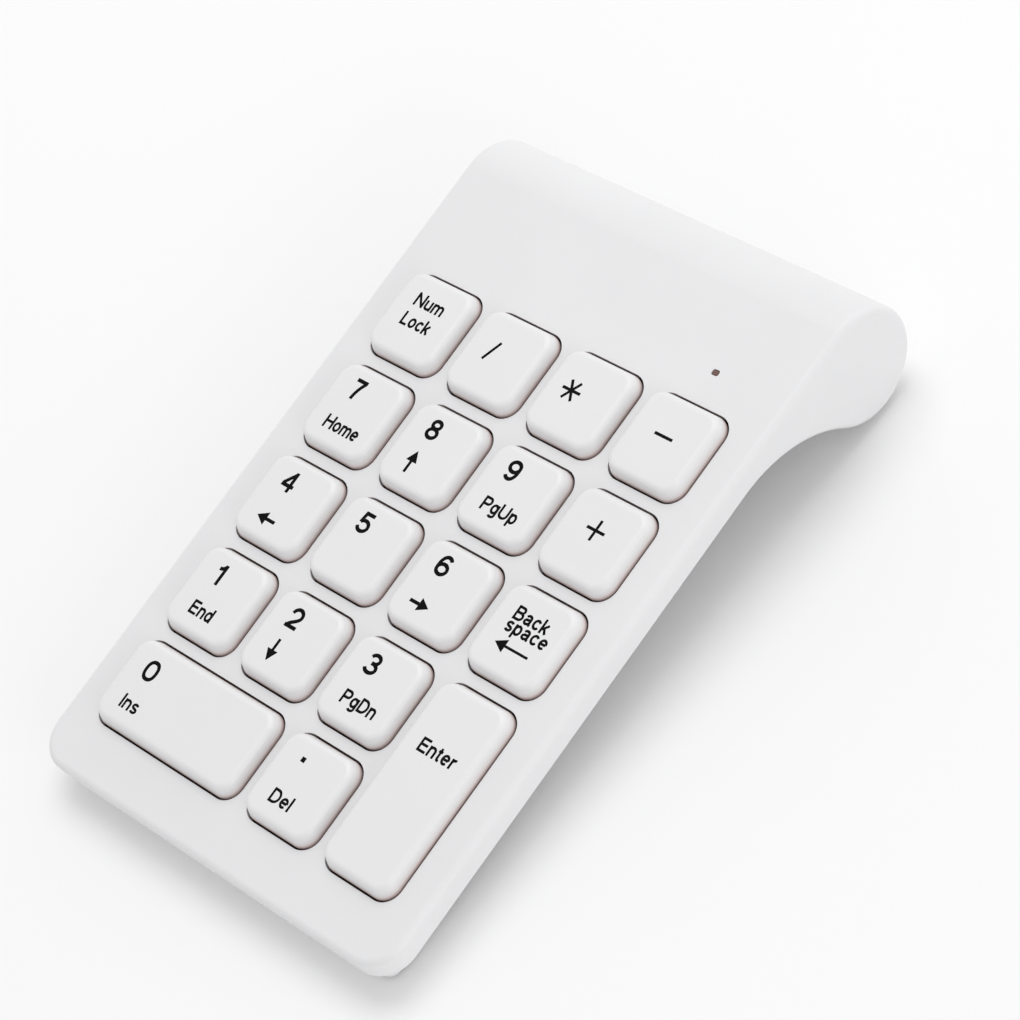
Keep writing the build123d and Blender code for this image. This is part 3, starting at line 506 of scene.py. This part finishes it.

# ---------------------------------------------------------------- rubber domes
# The sheet is split into a flat web and one dome for every key, each dome with a mesh of its own.
# Radius and height over the deck, mm, from the crown outwards, round the foot and back to the contact nub.
DOME_PROFILE = [(0, -3.95), (2.45, -3.95), (2.65, -4.0), (4.6, -5.9), (4.6, -6.2), (4.3, -6.2),
                (2.55, -4.45), (1.3, -4.45), (1.3, -5.05), (0, -5.05)]
DOME_FOOT = 4.6          # radius of the hole in the web, mm
SHEET_TOP, SHEET_LOW = -5.9, -6.2
SHEET_HALF, SHEET_FRONT, SHEET_REAR = 38.6, -77.2, 16.8
DOME_SIDES = 40
LONG_KEYS = {"key_0": (-19.0, ROWS[4]), "key_enter": (28.5, (ROWS[3] + ROWS[4]) / 2)}
KEY_GRID = [["key_num_lock", "key_divide", "key_multiply", "key_minus"],
            ["key_7", "key_8", "key_9", "key_plus"],
            ["key_4", "key_5", "key_6", "key_back_space"],
            ["key_1", "key_2", "key_3"],
            [None, None, "key_decimal"]]


def circle(cx, cy, radius, sides):
    turns = [2 * math.pi * i / sides for i in range(sides)]
    return [(cx + radius * math.cos(t), cy + radius * math.sin(t)) for t in turns]


def dome_mesh(label):
    """A closed ring of silicone turned about the dome's axis."""
    bm = bmesh.new()
    rings = []
    for radius, height in DOME_PROFILE:
        if radius == 0:
            rings.append([bm.verts.new((0, 0, height * MM))] * DOME_SIDES)
        else:
            ring = circle(0, 0, radius, DOME_SIDES)
            rings.append([bm.verts.new((x * MM, y * MM, height * MM)) for x, y in ring])
    for upper, lower in zip(rings, rings[1:]):
        for i in range(DOME_SIDES):
            j = (i + 1) % DOME_SIDES
            corners = [upper[i], lower[i], lower[j], upper[j]]
            bm.faces.new(list(dict.fromkeys(corners)))
    return closed_mesh(label, bm, silicone)


def sheet_mesh(label, centres):
    """The flat web of the sheet with a round hole under every dome."""
    corners = [(-SHEET_HALF, SHEET_FRONT), (SHEET_HALF, SHEET_FRONT),
               (SHEET_HALF, SHEET_REAR), (-SHEET_HALF, SHEET_REAR)]
    points = [Vector(p) for p in corners]
    faces = [[0, 1, 2, 3]]
    for cx, cy in centres:
        faces.append(list(range(len(points), len(points) + DOME_SIDES)))
        points += [Vector(p) for p in circle(cx, cy, DOME_FOOT, DOME_SIDES)]
    return slab(label, points, faces, lambda owners: owners == [0], SHEET_TOP,
                SHEET_TOP - SHEET_LOW, silicone)


dome_places = dict(LONG_KEYS)
for row, names in zip(ROWS, KEY_GRID):
    for column, name in zip(COLUMNS, names):
        if name:
            dome_places[name] = (column, row)
web = placed("dome_sheet_web", sheet_mesh("dome_sheet_web", dome_places.values()), DECK)
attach(web, "case")
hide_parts("rubber_dome_sheet")
for name, (x, y) in dome_places.items():
    dome = placed("dome_" + name, dome_mesh("dome_" + name), deck_place(x, y))
    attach(dome, "case")
    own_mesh(dome)

# ---------------------------------------------------------------- floor
FLOOR_HALF = 3           # metres
floor_mesh = bpy.data.meshes.new("floor")
floor_corners = [(-FLOOR_HALF, -FLOOR_HALF, 0), (FLOOR_HALF, -FLOOR_HALF, 0),
                 (FLOOR_HALF, FLOOR_HALF, 0), (-FLOOR_HALF, FLOOR_HALF, 0)]
floor_mesh.from_pydata(floor_corners, [], [(0, 1, 2, 3)])
floor = bpy.data.objects.new("floor", floor_mesh)
scene.collection.objects.link(floor)
floor_paper, floor_tree, floor_shader = material("floor_paper")
paper_tone = noise(floor_tree, 3.0, 3.0, 0.6)
paper_colour = ramp(floor_tree, paper_tone, [(0.3, (0.93, 0.93, 0.93)), (0.7, (0.95, 0.95, 0.95))])
floor_tree.links.new(paper_colour, floor_shader.inputs["Base Color"])
floor_shader.inputs["Roughness"].default_value = 0.8
floor_shader.inputs["Specular IOR Level"].default_value = 0.1
floor_mesh.materials.append(floor_paper)


# ---------------------------------------------------------------- light
def area_light(name, place, aim, size, power):
    """A rectangular lamp at a place, turned to a point; metres and watts."""
    lamp = bpy.data.lights.new(name, "AREA")
    lamp.shape = "RECTANGLE"
    lamp.size, lamp.size_y = size
    lamp.energy = power
    obj = bpy.data.objects.new(name, lamp)
    scene.collection.objects.link(obj)
    obj.location = place
    obj.rotation_euler = (Vector(aim) - Vector(place)).to_track_quat("-Z", "Y").to_euler()


area_light("rear_soft", (-0.15, 0.45, 1.05), (0, 0, 0), (0.9, 0.7), 4.6)
area_light("right_low", (1.0, -0.25, 0.35), (0, 0, 0.01), (0.6, 0.35), 1.5)

# a light tent: brighter round the horizon than overhead, dimmer on the side of the user
world = bpy.data.worlds.new("studio")
scene.world = world
world.use_nodes = True
sky = world.node_tree
sky_coords = node(sky, "ShaderNodeTexCoord")
sky_parts = node(sky, "ShaderNodeSeparateXYZ")
sky.links.new(sky_coords.outputs["Generated"], sky_parts.inputs[0])
sky_rise = ramp(sky, sky_parts.outputs["Z"], [(0.0, (0.95,)), (0.35, (0.9,)), (0.9, (0.62,))])
sky_depth = node(sky, "ShaderNodeMath", operation="MULTIPLY_ADD")      # -1 to 1 becomes 0 to 1
sky_depth.inputs[1].default_value = 0.5
sky_depth.inputs[2].default_value = 0.5
sky.links.new(sky_parts.outputs["Y"], sky_depth.inputs[0])
sky_front = ramp(sky, sky_depth.outputs["Value"], [(0.05, (0.75,)), (0.5, (1.0,))])
sky_light = sky.nodes["Background"]
sky.links.new(vector_math(sky, "MULTIPLY", sky_rise, sky_front), sky_light.inputs["Color"])
sky_light.inputs["Strength"].default_value = 1.03

scene.view_settings.view_transform = "Standard"
scene.view_settings.look = "None"
scene.view_settings.exposure = 0.0

# ---------------------------------------------------------------- camera
# a long lens from the front right, about 47 degrees up
camera_data = bpy.data.cameras.new("camera")
camera_data.sensor_width = 36.0
camera_data.lens = 142.94
camera_data.clip_start = 0.01
camera = bpy.data.objects.new("camera", camera_data)
scene.collection.objects.link(camera)
right = Vector((0.67807018, 0.62545007, -0.38604797))
up = Vector((-0.36370281, 0.74194822, 0.5632345))
ahead = Vector((-0.63870266, 0.24150579, -0.73057092))
place = Vector((0.42081438, -0.14930425, 0.48672692))
camera.matrix_world = Matrix((
    (right.x, up.x, -ahead.x, place.x),
    (right.y, up.y, -ahead.y, place.y),
    (right.z, up.z, -ahead.z, place.z),
    (0, 0, 0, 1),
))
scene.camera = camera

bpy.context.view_layer.update()
